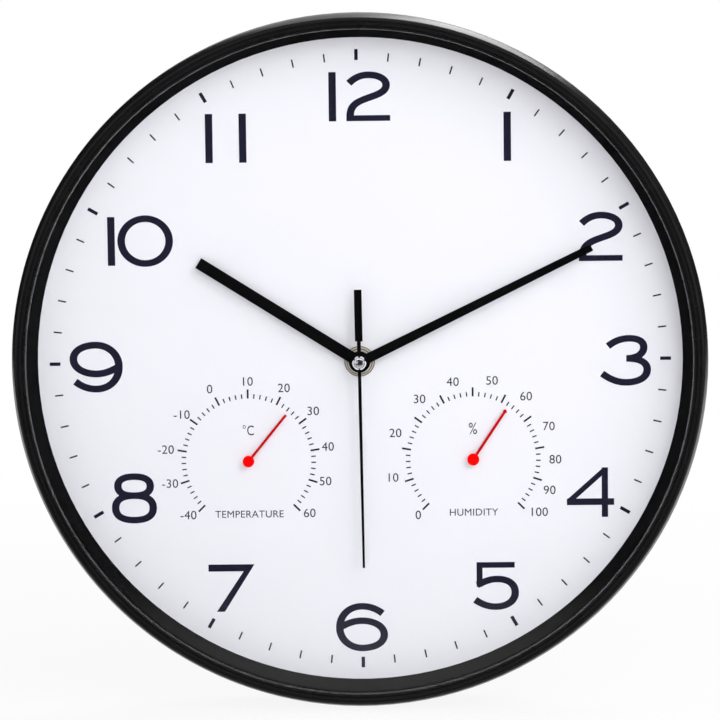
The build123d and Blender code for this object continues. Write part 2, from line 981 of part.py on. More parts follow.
# Battery bay
def contact(face, thickness):
    middle = battery_at[1]
    return slab(
        face,
        face + thickness,
        middle - contact_width / 2,
        middle + contact_width / 2,
        battery_at[2] - contact_depth / 2,
        battery_at[2] + contact_depth / 2,
    )


def positive_contact():
    return contact(room_half_width - contact_thickness, contact_thickness)


def negative_contact():
    face = -room_half_width + contact_thickness
    reach = contact_width / 2
    top = spring_rise - contact_gap
    rim = contact_thickness
    tongue = make_face(
        Polyline((face - rim, reach), (face, reach)).edges()
        + bowed((face, reach), (face, -reach), top).edges()
        + Polyline((face, -reach), (face - rim, -reach)).edges()
        + bowed((face - rim, -reach), (face - rim, reach), -top).edges()
    )
    low = battery_at[2] - contact_depth / 4
    spring = Pos(0, battery_at[1], 0) * prism(tongue, low, low + contact_depth / 2)
    return contact(-room_half_width, contact_thickness) + spring


def battery():
    edge = battery_radius - battery_edge
    half = battery_length / 2
    cell = turned(
        Polyline(
            (0, -half),
            (edge, -half),
            (battery_radius, battery_edge - half),
            (battery_radius, half - battery_edge),
            (edge, half),
            (battery_nub_radius, half),
            (battery_nub_radius, half + battery_nub_height),
            (0, half + battery_nub_height),
            close=True,
        )
    )
    return Pos(*battery_at) * Rot(0, 90, 0) * cell


# Gauges, drawn about their own arbor
gauge_back = plate_back - gauge_case_depth
gauge_floor = gauge_back + gauge_case_wall
strip_low = gauge_floor + gauge_case_wall
strip_high = strip_low + coil_strip_width
strip_start = collet_radius + coil_end_gap + coil_strip_thickness / 2
strip_end = strip_start + coil_half_turns * coil_strip_pitch / 2


def gauge_case():
    inner = gauge_case_radius - gauge_case_wall
    case = ring(gauge_case_radius, inner, gauge_back, plate_back)
    case += disc(gauge_case_radius, gauge_back, gauge_floor)
    vent = slab(
        inner - gauge_vent_length,
        inner,
        -gauge_vent_width / 2,
        gauge_vent_width / 2,
        gauge_back,
        gauge_floor,
    )
    case -= around(gauge_vents, 180 / gauge_vents, vent)
    case += slab(
        -inner,
        inner,
        -gauge_bridge_width / 2,
        gauge_bridge_width / 2,
        plate_back - gauge_bridge_thickness,
        plate_back,
    )
    post_at = ((-1) ** coil_half_turns * (strip_end + strip_gap_to_post()), 0)
    case += at(post_at, disc(anchor_post_radius, gauge_floor, strip_high))
    ear_low = plate_back - gauge_ear_thickness
    hole = disc(gauge_screw_radius + running_clearance, ear_low, plate_back)
    for place in gauge_ear_places():
        ear = disc(gauge_ear_radius, ear_low, plate_back) - hole
        case += at(place, ear) - disc(inner, ear_low, plate_back)
    return case - disc(gauge_arbor_radius + running_clearance, gauge_back, plate_back)


def strip_gap_to_post():
    return coil_strip_thickness / 2 + coil_end_gap + anchor_post_radius


def gauge_coil():
    """Flat spiral strip of half turns whose radius grows by half a pitch each."""
    half_strip = coil_strip_thickness / 2
    sides = {-half_strip: [], half_strip: []}
    start = strip_start
    side = 1
    for i in range(coil_half_turns):
        end = start + coil_strip_pitch / 2
        radius = (start + end) / 2
        centre = side * (start - end) / 2
        for offset, arcs in sides.items():
            reach = radius + offset
            arcs.append(
                ThreePointArc(
                    (centre + side * reach, 0), (centre, side * reach), (centre - side * reach, 0)
                )
            )
        start = end
        side = -side
    inner, outer = sides[-half_strip], sides[half_strip]
    edges = inner + outer + [Line(inner[0] @ 0, outer[0] @ 0), Line(inner[-1] @ 1, outer[-1] @ 1)]
    return prism(make_face([edge for arc in edges for edge in arc.edges()]), strip_low, strip_high)


def gauge_arbor():
    arbor = disc(gauge_arbor_radius, gauge_back, pointer_low + pointer_disc_thickness / 2)
    return arbor + disc(collet_radius, strip_low, strip_high)


def gauge_pointer(outline, disc_radius, angle):
    pointer = prism(outline, pointer_low, pointer_low + pointer_thickness)
    pointer += disc(disc_radius, pointer_low, pointer_low + pointer_disc_thickness)
    bore_top = pointer_low + pointer_disc_thickness / 2
    pointer -= disc(gauge_arbor_radius + press_clearance, pointer_low, bore_top)
    return clockwise(angle, pointer)


def thermometer_pointer():
    width = thermometer_pointer_width
    outline = bar(0, thermometer_pointer_length, width, width)
    return gauge_pointer(outline, thermometer_disc_radius, thermometer_angle)


def hygrometer_pointer():
    width = hygrometer_pointer_width
    length = hygrometer_pointer_length - hygrometer_club_radius
    outline = bar(0, length, width, width) + Pos(0, length) * Circle(hygrometer_club_radius)
    return gauge_pointer(outline, hygrometer_disc_radius, hygrometer_angle)


def gauge_screws():
    low = plate_back - gauge_ear_thickness
    head_low = low - gauge_screw_head_height
    screw = disc(gauge_screw_head_radius, head_low, low)
    screw += disc(gauge_screw_radius, low, plate_back + gauge_screw_bite)
    screw -= cross_recess(gauge_screw_head_radius, head_low, gauge_screw_head_height / 2)
    places = gauge_places().values()
    return [at(place, at(ear, screw)) for place in places for ear in gauge_ear_places()]


makers = [
    front_frame,
    lens,
    spacer_ring,
    dial_sheet,
    dial_plate,
    back_cover,
    back_cover_screws,
    hanger_plate,
    hour_hand,
    minute_hand,
    second_hand,
    second_hand_cap,
    fixing_nut,
    dial_washer,
    movement_gasket,
    movement_housing,
    movement_lid,
    intermediate_wheel,
    rotor_pinion,
    rotor_magnet,
    second_wheel,
    second_arbor,
    third_wheel,
    centre_wheel,
    clutch_spring,
    minute_pipe,
    motion_wheel,
    hour_wheel,
    setting_knob,
    stator_plate,
    coil_core,
    coil_bobbin,
    coil_winding,
    circuit_board,
    circuit_chip,
    quartz_crystal,
    positive_contact,
    negative_contact,
    battery,
    gauge_screws,
]
nodes = {maker.__name__: maker() for maker in makers}
for gauge, place in gauge_places().items():
    nodes[gauge + "_case"] = at(place, gauge_case())
    nodes[gauge + "_coil"] = at(place, gauge_coil())
    nodes[gauge + "_arbor"] = at(place, gauge_arbor())
nodes["thermometer_pointer"] = at(gauge_places()["thermometer"], thermometer_pointer())
nodes["hygrometer_pointer"] = at(gauge_places()["hygrometer"], hygrometer_pointer())

# Stand the clock up on the wall, dial towards -y, hanging point at the origin
standing = Pos(0, 0, -hang_height) * Rot(90, 0, 0)
os.makedirs("parts", exist_ok=True)
for name, shape in nodes.items():
    pieces = shape if isinstance(shape, list) else [shape]
    solids = [standing * solid for piece in pieces for solid in piece.solids()]
    export_step(solids[0] if len(solids) == 1 else Compound(solids), f"parts/{name}.step")

spiral_gap = coil_strip_pitch - coil_strip_thickness
print(f"gauge coil: least gap between turns {spiral_gap:.2f} mm")
print(f"movement {2 * movement_half_width:.1f} x {movement_height:.1f} x {movement_depth:.1f} mm")
print(f"clock {2 * frame_radius:.1f} mm across, {frame_front:.1f} mm deep")
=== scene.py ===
import json
from math import cos, pi, radians, sin

import bmesh
import bpy
from mathutils import Euler, Matrix, Vector
from mathutils.geometry import delaunay_2d_cdt, interpolate_bezier


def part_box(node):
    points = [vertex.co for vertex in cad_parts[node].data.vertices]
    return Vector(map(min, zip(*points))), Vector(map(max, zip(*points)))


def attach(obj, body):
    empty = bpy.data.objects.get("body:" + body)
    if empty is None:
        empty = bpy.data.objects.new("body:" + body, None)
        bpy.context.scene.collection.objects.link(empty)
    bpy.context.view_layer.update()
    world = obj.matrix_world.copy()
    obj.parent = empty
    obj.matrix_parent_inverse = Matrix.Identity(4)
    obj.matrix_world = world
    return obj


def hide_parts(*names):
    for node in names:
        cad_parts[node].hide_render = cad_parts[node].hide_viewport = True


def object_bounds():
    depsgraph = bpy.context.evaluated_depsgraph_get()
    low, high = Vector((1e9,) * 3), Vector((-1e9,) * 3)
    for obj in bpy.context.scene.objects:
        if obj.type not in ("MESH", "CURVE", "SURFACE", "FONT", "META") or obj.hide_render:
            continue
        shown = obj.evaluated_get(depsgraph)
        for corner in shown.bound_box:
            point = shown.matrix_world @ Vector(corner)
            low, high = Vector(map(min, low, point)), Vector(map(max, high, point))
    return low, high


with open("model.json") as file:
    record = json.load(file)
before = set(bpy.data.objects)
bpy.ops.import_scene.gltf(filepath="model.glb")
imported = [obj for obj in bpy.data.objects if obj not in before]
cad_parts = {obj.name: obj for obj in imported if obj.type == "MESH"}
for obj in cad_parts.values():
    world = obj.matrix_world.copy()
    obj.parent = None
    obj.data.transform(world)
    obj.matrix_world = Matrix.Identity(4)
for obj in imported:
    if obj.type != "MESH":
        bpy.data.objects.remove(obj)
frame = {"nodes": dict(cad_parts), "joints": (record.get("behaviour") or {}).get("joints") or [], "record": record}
cad_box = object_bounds()

# Looks of a round wall clock with a thermometer and a hygrometer on its dial.
# Metres, in the frame of the solids: the dial faces -y, 12 o'clock is +z, the wall is at y = 0.
mm = 0.001

# Places that the solids give
clock_middle = (cad_box[0] + cad_box[1]) / 2
axes = {joint["name"]: Vector(joint["pos_m"]) for joint in frame["joints"] if "pos_m" in joint}
hands_axis = axes["second_hand_turn"]
thermometer_axis = axes["thermometer_turn"]
hygrometer_axis = axes["hygrometer_turn"]
knob_axis = axes["motion_wheel_turn"]
dial_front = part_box("dial_sheet")[0].y
lid_low, lid_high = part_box("movement_lid")
battery_low, battery_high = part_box("battery")
node_slots = {part["node"]: part["material_slot"] for part in frame["record"]["subparts"]}
node_bodies = {
    node: body for body, nodes in frame["record"]["behaviour"]["bodies"].items() for node in nodes
}

# Camera, as the photo was taken: a little above the hands' axis and to its right
photo_pixels = 720
dial_pixel = 0.4351 * mm
view_distance = 1.4
view_side = radians(1.3)
view_height = radians(5.8)
view_roll = radians(-0.7)
view_near = 0.01
aim_right = 0.15 * mm
aim_up = 0.5 * mm
sensor_width = 36.0

# Studio. The floor looks whiter from `floor_near` to `floor_far`, and the low card glows with painted light, more
# from
# `card_fade_far` to `card_fade_near`.
backdrop_white = 1.0
room_light = 0.12
floor_size = 12.0
floor_gap = 0.5 * mm
floor_tones = ((0.9, 0.9, 0.9), (0.93, 0.93, 0.93))
floor_cloud = 0.5
floor_rough = 0.9
floor_show = 0.9
floor_near = 0.25
floor_far = 0.8
card_size = 3.0
card_lift = 0.2 * mm
card_cloth = 20 * mm
cards = {
    "card_front": {"at": (0.0, -2.1, 1.5), "turned": (90, 0, 0), "stretch": 2.7},
    "card_left": {"at": (-0.7, 1.6, 1.5), "turned": (0, 90, 0), "stretch": 1.0},
    "card_right": {"at": (0.7, 1.6, 1.5), "turned": (0, 90, 0), "stretch": 1.0},
    "card_low": {"at": (0.0, -1.55, 0.0), "turned": (0, 0, 0), "stretch": 1.0},
}
# Glow of the cards, painted light in place of lamplight on them: dark, and pale at the low card's near end
card_dark = 0.01
card_pale = 0.5
card_fade_far = -0.42
card_fade_near = -0.08
lamps = {
    "front": {"at": (0.3, -1.9, 0.45), "size": 1.6, "watts": 23.5, "mirrored": False},
    "key": {"at": (1.0, -1.0, 1.15), "size": 1.5, "watts": 19.2, "mirrored": False},
    "fill": {"at": (-1.3, -1.5, 0.3), "size": 1.4, "watts": 4.0, "mirrored": True},
    "rear": {"at": (0.6, 1.3, 1.25), "size": 1.2, "watts": 20.0, "mirrored": True},
}

# Share that the lens mirrors when seen straight on, and samples of a rounded edge
glass_mirror = 0.034
bevel_samples = 4

# Meshes: points within a gap become one, in metres on a solid's copy and in millimetres on print and
# signs, and edges that turn by more than `crease` stay sharp
copy_gap = 0.001 * mm
outline_gap = 0.0001
weld_gap = 0.002
crease = radians(30.0)

# Dial print, millimetres from the hands' axis; after each run of marks one place is left out
ink_thickness = 0.05
endless_run = 100000
hour_marks = {"Count": 12, "Inner": 130.5, "Outer": 135.2, "Width": 1.5, "Step": 30.0}
minute_marks = {
    "Count": 48,
    "Inner": 130.3,
    "Outer": 133.9,
    "Width": 0.65,
    "Step": 6.0,
    "First": 1,
    "Run": 4,
}
pen_upright = 3.3
pen_level = 2.9
curve_steps = 14
number_places = {
    "12": (1.2, 114.8),
    "1": (64.9, 96.9),
    "2": (105.0, 53.2),
    "3": (115.4, -0.8),
    "4": (100.0, -58.5),
    "5": (58.4, -99.5),
    "6": (-0.4, -117.3),
    "7": (-57.3, -99.5),
    "8": (-99.4, -59.4),
    "9": (-114.9, -1.5),
    "10": (-94.7, 53.3),
    "11": (-56.8, 97.4),
}
digit_gaps = {"12": 4.5, "10": 1.2, "11": 11.4}
six_size = (22.6, 21.2)
nine_size = (23.0, 22.0)

# Gauge print, millimetres from the gauge's arbor. The humidity figures stand closer towards 100.
scale_start = -135.0
scale_sweep = 270.0
scale_parts = 10
scale_minors = 4
scale_inner = 27.4
minor_outer = 29.4
major_outer = 31.4
minor_width = 0.55
major_width = 0.8
scale_figure_height = 3.9
thermometer_figures = {
    "-40": (-26.8, -23.6),
    "-30": (-34.6, -9.6),
    "-20": (-36.2, 5.4),
    "-10": (-29.0, 20.7),
    "0": (-16.6, 31.8),
    "10": (-0.3, 35.0),
    "20": (15.8, 32.0),
    "30": (28.4, 21.8),
    "40": (34.7, 6.1),
    "50": (33.4, -9.1),
    "60": (26.3, -23.1),
}
hygrometer_figures = {
    "0": (-24.2, -24.4),
    "10": (-35.3, -7.8),
    "20": (-33.8, 11.8),
    "30": (-23.2, 26.6),
    "40": (-8.6, 34.0),
    "50": (8.4, 34.4),
    "60": (23.2, 27.4),
    "70": (33.0, 14.2),
    "80": (35.8, -0.4),
    "90": (33.2, -13.9),
    "100": (28.4, -23.5),
}
unit_rise = 13.5
degree_height = 4.4
percent_height = 5.2
unit_narrow = 0.78
word_drop = 23.4
word_height = 3.2
figure_share = 0.72
letter_space = 1.04

# Signs moulded on the movement's lid, millimetres, as seen from behind
sign_rise = 0.25
sign_pen = 0.9
sign_span = 4.0
sign_side = 21.0
sign_lift = 4.6
arrow_radius = 9.4
arrow_start = 215.0
arrow_end = -20.0
arrow_steps = 40
arrow_head = 3.0
arrow_tip = 1.1


# Node trees written as expressions
class Wire:
    """A value in a node tree that takes part in sums."""

    def __init__(self, sheet, socket):
        self.sheet = sheet
        self.socket = socket

    def sum(self, operation, first, second):
        return self.sheet.node("ShaderNodeMath", {"operation": operation}, {0: first, 1: second})

    def __add__(self, other):
        return self.sum("ADD", self, other)

    def __radd__(self, other):
        return self.sum("ADD", other, self)

    def __sub__(self, other):
        return self.sum("SUBTRACT", self, other)

    def __rsub__(self, other):
        return self.sum("SUBTRACT", other, self)

    def __mul__(self, other):
        return self.sum("MULTIPLY", self, other)

    def __rmul__(self, other):
        return self.sum("MULTIPLY", other, self)

    def __truediv__(self, other):
        return self.sum("DIVIDE", self, other)

    def __pow__(self, other):
        return self.sum("POWER", self, other)

    def __gt__(self, other):
        return self.sum("GREATER_THAN", self, other)

    def __lt__(self, other):
        return self.sum("LESS_THAN", self, other)


class Sheet:
    """A node tree and the one way that nodes get into it."""

    def __init__(self, tree):
        self.tree = tree
        tree.nodes.clear()

    def node(self, kind, settings=None, sockets=None, out=0):
        """Adds a node, its settings first, then its sockets' values or links, and gives an output."""
        made = self.tree.nodes.new(kind)
        for name, value in (settings or {}).items():
            setattr(made, name, value)
        for name, value in (sockets or {}).items():
            if isinstance(value, Wire):
                self.tree.links.new(value.socket, made.inputs[name])
            else:
                made.inputs[name].default_value = value
        return Wire(self, made.outputs[out]) if made.outputs else None


class Paint(Sheet):
    """One material."""

    def __init__(self, name):
        self.material = bpy.data.materials.new(name)
        self.material.use_nodes = True
        super().__init__(self.material.node_tree)

    def place(self):
        return self.node("ShaderNodeTexCoord", out="Object")

    def axis(self, name):
        return self.node("ShaderNodeSeparateXYZ", sockets={"Vector": self.place()}, out=name)

    def away_from(self, centre):
        """Distance from a line along y, such as the hands' axis."""
        across = self.axis("X") - centre.x
        up = self.axis("Z") - centre.z
        return (across * across + up * up) ** 0.5

    def noise(self, size, detail=2.0, stretch=(1, 1, 1)):
        """Cloudy value from 0 to 1 with features about `size` across."""
        place = self.node("ShaderNodeMapping", sockets={"Vector": self.place(), "Scale": stretch})
        sockets = {"Vector": place, "Scale": 1 / size, "Detail": detail}
        return self.node("ShaderNodeTexNoise", sockets=sockets)

    def waves(self, value, pitch):
        """Even ridges from 0 to 1 along a distance."""
        turns = self.node("ShaderNodeMath", {"operation": "SINE"}, {0: value * (2 * pi / pitch)})
        return turns * 0.5 + 0.5

    def step(self, value, low, high):
        """0 below `low`, 1 above `high`, smooth between."""
        settings = {"interpolation_type": "SMOOTHSTEP"}
        sockets = {"Value": value, "From Min": low, "From Max": high}
        return self.node("ShaderNodeMapRange", settings, sockets)

    def blend(self, share, first, second):
        """Colour between two colours."""
        sockets = {0: share}
        for place, colour in ((6, first), (7, second)):
            sockets[place] = colour if isinstance(colour, Wire) else (*colour, 1.0)
        return self.node("ShaderNodeMix", {"data_type": "RGBA"}, sockets, out=2)

    def relief(self, height, depth, edge=0.0):
        """Normal from a height of 0 to 1 that stands for `depth`, with edges rounded by `edge`."""
        sockets = {"Height": height, "Distance": depth}
        if edge:
            settings = {"samples": bevel_samples}
            sockets["Normal"] = self.node("ShaderNodeBevel", settings, {"Radius": edge})
        return self.node("ShaderNodeBump", sockets=sockets)

    def show(self, shader):
        """Finishes the material with a shader."""
        self.node("ShaderNodeOutputMaterial", sockets={"Surface": shader})
        return self.material

    def surface(self, colour, **sockets):
        """Finishes the material with one Principled shader."""
        named = {name.replace("_", " "): value for name, value in sockets.items()}
        named["Base Color"] = colour
        return self.show(self.node("ShaderNodeBsdfPrincipled", sockets=named))


# Looks of the moulded blacks: two tones, how dull they are, the mould grain's size and depth, and for
# some the rounding of the edges and the glint
moulded_blacks = {
    "frame_black": {
        "tones": ((0.0065, 0.0065, 0.007), (0.0105, 0.0105, 0.011)),
        "dull": 0.22,
        "grain": 1.2 * mm,
        "depth": 0.004 * mm,
        "glint": 0.1,
    },
    "spacer_black": {
        "tones": ((0.006, 0.006, 0.0065), (0.009, 0.009, 0.0095)),
        "dull": 0.5,
        "grain": 0.5 * mm,
        "depth": 0.01 * mm,
        "glint": 0.0,
    },
    "cover_black": {
        "tones": ((0.016, 0.016, 0.017), (0.026, 0.026, 0.028)),
        "dull": 0.4,
        "grain": 0.35 * mm,
        "depth": 0.05 * mm,
        "edge": 0.3 * mm,
    },
    "gauge_case_black": {
        "tones": ((0.022, 0.022, 0.024), (0.035, 0.035, 0.037)),
        "dull": 0.42,
        "grain": 0.4 * mm,
        "depth": 0.04 * mm,
        "edge": 0.2 * mm,
    },
    "gasket_rubber": {
        "tones": ((0.018, 0.018, 0.018), (0.03, 0.03, 0.03)),
        "dull": 0.65,
        "grain": 0.3 * mm,
        "depth": 0.04 * mm,
    },
    "movement_black": {
        "tones": ((0.017, 0.017, 0.018), (0.028, 0.028, 0.03)),
        "dull": 0.34,
        "grain": 0.28 * mm,
        "depth": 0.03 * mm,
        "edge": 0.25 * mm,
    },
    "chip_black": {
        "tones": ((0.008, 0.008, 0.008), (0.013, 0.013, 0.013)),
        "dull": 0.2,
        "grain": 0.5 * mm,
        "depth": 0.02 * mm,
    },
}


# Finishes
def moulded_black(name, tones, dull, grain, depth, edge=0.0, glint=0.3):
    """Black plastic or rubber: a fine mould grain, cloudy gloss and a few specks of dust."""
    paint = Paint(name)
    cloud = paint.noise(18 * mm, detail=4.0)
    specks = paint.step(paint.noise(0.9 * mm, detail=1.0), 0.76, 0.82)
    colour = paint.blend(cloud, *tones)
    return paint.surface(
        paint.blend(specks * 0.18, colour, (0.16, 0.16, 0.17)),
        Roughness=cloud * 0.12 + specks * 0.2 + dull,
        Normal=paint.relief(paint.noise(grain, detail=3.0), depth, edge),
        Specular_IOR_Level=glint,
    )


def clear_lens():
    """Flat glass that shows what is behind it and mirrors more at a low angle, alike on both faces."""
    paint = Paint("lens_clear")
    gloss = paint.node(
        "ShaderNodeBsdfGlossy", sockets={"Color": (1.0, 1.0, 1.0, 1.0), "Roughness": 0.02}
    )
    clear = paint.node("ShaderNodeBsdfTransparent", sockets={"Color": (0.99, 0.99, 0.995, 1.0)})
    facing = paint.node("ShaderNodeLayerWeight", sockets={"Blend": 0.5}, out="Facing")
    mirror = facing**5 * (1 - glass_mirror) + glass_mirror
    smear = paint.noise(40 * mm, detail=3.0) * 0.3 + 0.7
    pane = paint.node("ShaderNodeMixShader", sockets={0: mirror * smear, 1: clear, 2: gloss})
    return paint.show(pane)


def printed_sheet():
    """White coated sheet with a faint fibre."""
    paint = Paint("dial_white")
    fibre = paint.noise(0.35 * mm, detail=4.0)
    cloud = paint.noise(60 * mm)
    return paint.surface(
        paint.blend(fibre * 0.6 + cloud * 0.4, (0.9, 0.9, 0.945), (0.93, 0.93, 0.97)),
        Roughness=fibre * 0.1 + 0.5,
        Normal=paint.relief(fibre, 0.004 * mm),
        Specular_IOR_Level=0.25,
    )


def screen_ink(name, thin, thick):
    """Printed ink, a little uneven in density."""
    paint = Paint(name)
    density = paint.noise(0.25 * mm, detail=3.0)
    return paint.surface(
        paint.blend(density, thin, thick),
        Roughness=density * 0.15 + 0.42,
        Normal=paint.relief(density, 0.006 * mm),
        Specular_IOR_Level=0.04,
    )


def painted_hand():
    """Thin black paint on sheet metal, with a slight orange peel."""
    paint = Paint("hand_black")
    peel = paint.noise(0.8 * mm)
    cloud = paint.noise(12 * mm)
    return paint.surface(
        paint.blend(cloud, (0.0018, 0.0018, 0.0022), (0.0034, 0.0034, 0.0038)),
        Roughness=cloud * 0.12 + 0.38,
        Normal=paint.relief(peel, 0.01 * mm),
        Specular_IOR_Level=0.03,
    )


def pointer_red():
    """Red lacquer, bright on the pointer's disc; the deeper red along its needle is painted shade."""
    paint = Paint("pointer_red")
    peel = paint.noise(0.8 * mm)
    along = [paint.away_from(centre) for centre in (thermometer_axis, hygrometer_axis)]
    nearest = paint.node("ShaderNodeMath", {"operation": "MINIMUM"}, {0: along[0], 1: along[1]})
    disc_edge = 2.9 * mm
    needle = paint.step(nearest, disc_edge, disc_edge + 0.3 * mm)
    disc = paint.blend(peel, (0.92, 0.001, 0.001), (0.98, 0.002, 0.002))
    return paint.surface(
        # Painted shade: the deeper red on the needle stands in for how dark the thin, shaded needle looks.
        paint.blend(needle, disc, (0.56, 0.004, 0.006)),
        Roughness=peel * 0.12 + 0.4,
        Normal=paint.relief(peel, 0.01 * mm),
        Specular_IOR_Level=0.01,
    )


def polished_chrome():
    """Bright chrome with a breath of haze."""
    paint = Paint("cap_chrome")
    haze = paint.noise(1.5 * mm, detail=3.0)
    return paint.surface(
        paint.blend(haze, (0.86, 0.86, 0.88), (0.93, 0.93, 0.94)),
        Metallic=1.0,
        Roughness=haze * 0.06 + 0.03,
    )


def turned_nickel():
    """Satin nickel plate over fine lathe rings around the hands' axis; the rings are in relief, and their dark and
    pale tones are painted shade and painted highlight.
    """
    paint = Paint("nut_nickel")
    rings = paint.step(paint.waves(paint.away_from(hands_axis), 0.95 * mm), 0.1, 0.5)
    haze = paint.noise(2 * mm, detail=3.0)
    return paint.surface(
        # Painted shade and highlight: the rings darken and lighten the nickel's colour over their bumped grooves.
        paint.blend(rings * 0.85 + haze * 0.15, (0.17, 0.145, 0.105), (0.97, 0.92, 0.82)),
        Metallic=0.5,
        Roughness=haze * 0.15 + 0.4,
        Normal=paint.relief(rings, 0.05 * mm),
    )


def plated_steel():
    """Bright plated steel with drawing lines that run upwards."""
    paint = Paint("steel")
    lines = paint.noise(0.25 * mm, detail=3.0, stretch=(1, 1, 0.06))
    stain = paint.noise(6 * mm, detail=4.0)
    return paint.surface(
        paint.blend(stain * 0.6 + lines * 0.4, (0.45, 0.45, 0.44), (0.72, 0.72, 0.71)),
        Metallic=1.0,
        Roughness=lines * 0.15 + stain * 0.15 + 0.2,
        Normal=paint.relief(lines, 0.01 * mm, edge=0.15 * mm),
    )


def natural_plastic(name, dark, pale):
    """Unpainted plastic with flow clouds."""
    paint = Paint(name)
    flow = paint.noise(5 * mm, detail=3.0)
    grain = paint.noise(0.3 * mm)
    return paint.surface(
        paint.blend(flow, dark, pale),
        Roughness=grain * 0.12 + 0.38,
        Normal=paint.relief(grain, 0.01 * mm, edge=0.1 * mm),
    )


def wound_copper():
    """Fine enamelled wire laid side by side along x."""
    paint = Paint("winding_copper")
    turns = paint.waves(paint.axis("X"), 0.22 * mm)
    shade = paint.noise(2 * mm)
    return paint.surface(
        paint.blend(turns * 0.7 + shade * 0.3, (0.25, 0.07, 0.02), (0.78, 0.36, 0.15)),
        Metallic=0.9,
        Roughness=shade * 0.1 + 0.28,
        Normal=paint.relief(turns, 0.06 * mm),
    )


def circuit_green():
    """Solder mask over a few copper runs."""
    paint = Paint("board_green")
    runs = paint.step(paint.waves(paint.axis("X") + paint.axis("Z"), 2.4 * mm), 0.7, 0.78)
    grain = paint.noise(0.4 * mm)
    return paint.surface(
        paint.blend(runs, (0.012, 0.11, 0.035), (0.03, 0.22, 0.08)),
        Roughness=grain * 0.1 + 0.3,
        Normal=paint.relief(runs, 0.03 * mm),
    )


def rolled_strip(name, inner, outer):
    """Metal strip with rolling lines along its edge."""
    paint = Paint(name)
    lines = paint.waves(paint.axis("Y"), 0.3 * mm)
    stain = paint.noise(1.5 * mm, detail=3.0)
    return paint.surface(
        paint.blend(stain, inner, outer),
        Metallic=1.0,
        Roughness=lines * 0.1 + stain * 0.1 + 0.25,
        Normal=paint.relief(lines, 0.01 * mm),
    )


def cell_jacket():
    """Plain battery jacket: pale grey with a darker band at the flat end, and steel ends."""
    paint = Paint("battery_jacket")
    along = paint.axis("X")
    flat_end, nub_end = battery_low.x + 0.5 * mm, battery_high.x - 2.1 * mm
    steel = (along < flat_end) + (along > nub_end)
    band = (along < battery_low.x + 14 * mm) * (along > battery_low.x + 3 * mm)
    scuff = paint.noise(3 * mm, detail=5.0, stretch=(0.3, 1, 1))
    jacket = paint.blend(band, (0.5, 0.52, 0.54), (0.05, 0.12, 0.24))
    worn = paint.blend(scuff * 0.25, jacket, (0.75, 0.75, 0.76))
    return paint.surface(
        paint.blend(steel, worn, (0.72, 0.71, 0.68)),
        Metallic=steel * 0.9 + 0.1,
        Roughness=scuff * 0.15 + 0.22,
        Normal=paint.relief(scuff, 0.01 * mm, edge=0.3 * mm),
    )


def dark_sinter():
    """Pressed magnet powder."""
    paint = Paint("magnet_dark")
    grain = paint.noise(0.2 * mm, detail=4.0)
    return paint.surface(
        paint.blend(grain, (0.03, 0.03, 0.033), (0.12, 0.12, 0.125)),
        Metallic=0.6,
        Roughness=grain * 0.2 + 0.45,
        Normal=paint.relief(grain, 0.03 * mm),
    )


finishes = {
    **{name: moulded_black(name, **look) for name, look in moulded_blacks.items()},
    "lens_clear": clear_lens(),
    "dial_white": printed_sheet(),
    "plate_white": natural_plastic("plate_white", (0.72, 0.72, 0.7), (0.82, 0.82, 0.8)),
    "hand_black": painted_hand(),
    "pointer_red": pointer_red(),
    "cap_chrome": polished_chrome(),
    "nut_nickel": turned_nickel(),
    "wheel_white": natural_plastic("wheel_white", (0.7, 0.69, 0.64), (0.86, 0.85, 0.81)),
    "steel": plated_steel(),
    "magnet_dark": dark_sinter(),
    "winding_copper": wound_copper(),
    "board_green": circuit_green(),
    "coil_bimetal": rolled_strip("coil_bimetal", (0.5, 0.36, 0.17), (0.72, 0.56, 0.33)),
    "coil_film": rolled_strip("coil_film", (0.5, 0.5, 0.48), (0.76, 0.76, 0.74)),
    "battery_jacket": cell_jacket(),
}
navy_ink = screen_ink("navy_ink", (0.017, 0.017, 0.037), (0.011, 0.011, 0.026))
grey_ink = screen_ink("grey_ink", (0.025, 0.025, 0.035), (0.015, 0.015, 0.022))

for node, slot in node_slots.items():
    for place in frame["nodes"][node].material_slots:
        place.material = finishes[slot]


# Pieces
def add_piece(name, mesh, material, body):
    """Puts a finished mesh into the scene as a piece that moves with a body."""
    mesh.materials.clear()
    mesh.materials.append(material)
    piece = bpy.data.objects.new(name, mesh)
    bpy.context.scene.collection.objects.link(piece)
    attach(piece, body)
    return piece


def smooth_copy(node, finish=None):
    """Stands in for a solid's loose triangles with a merged, smoothly shaded copy."""
    mesh = frame["nodes"][node].data.copy()
    shape = bmesh.new()
    shape.from_mesh(mesh)
    bmesh.ops.remove_doubles(shape, verts=shape.verts, dist=copy_gap)
    shape.to_mesh(mesh)
    shape.free()
    if "custom_normal" in mesh.attributes:
        mesh.attributes.remove(mesh.attributes["custom_normal"])
    mesh.shade_smooth()
    mesh.set_sharp_from_angle(angle=crease)
    slot = node_slots[node]
    piece = add_piece(node + "_shell", mesh, finishes[finish or slot], node_bodies[node])
    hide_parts(node)


def seen_plane(centre, level, side):
    """Takes millimetres as a viewer sees them, x right, y up and z nearer, to a face at depth `level`.

    The viewer's side is 1 in front of the clock and -1 behind it.
    """
    return Matrix(
        (
            (side * mm, 0, 0, centre.x),
            (0, 0, -side * mm, level),
            (0, mm, 0, centre.z),
            (0, 0, 0, 1),
        )
    )


def add_print(name, mesh, ink, centre):
    """Puts print, in millimetres from a centre, on the dial."""
    mesh.transform(seen_plane(centre, dial_front, 1))
    add_piece(name, mesh, ink, "case")


def turns_left(polygon):
    """True where the points run anticlockwise."""
    pairs = zip(polygon, polygon[1:] + polygon[:1])
    return sum(ax * by - bx * ay for (ax, ay), (bx, by) in pairs) > 0


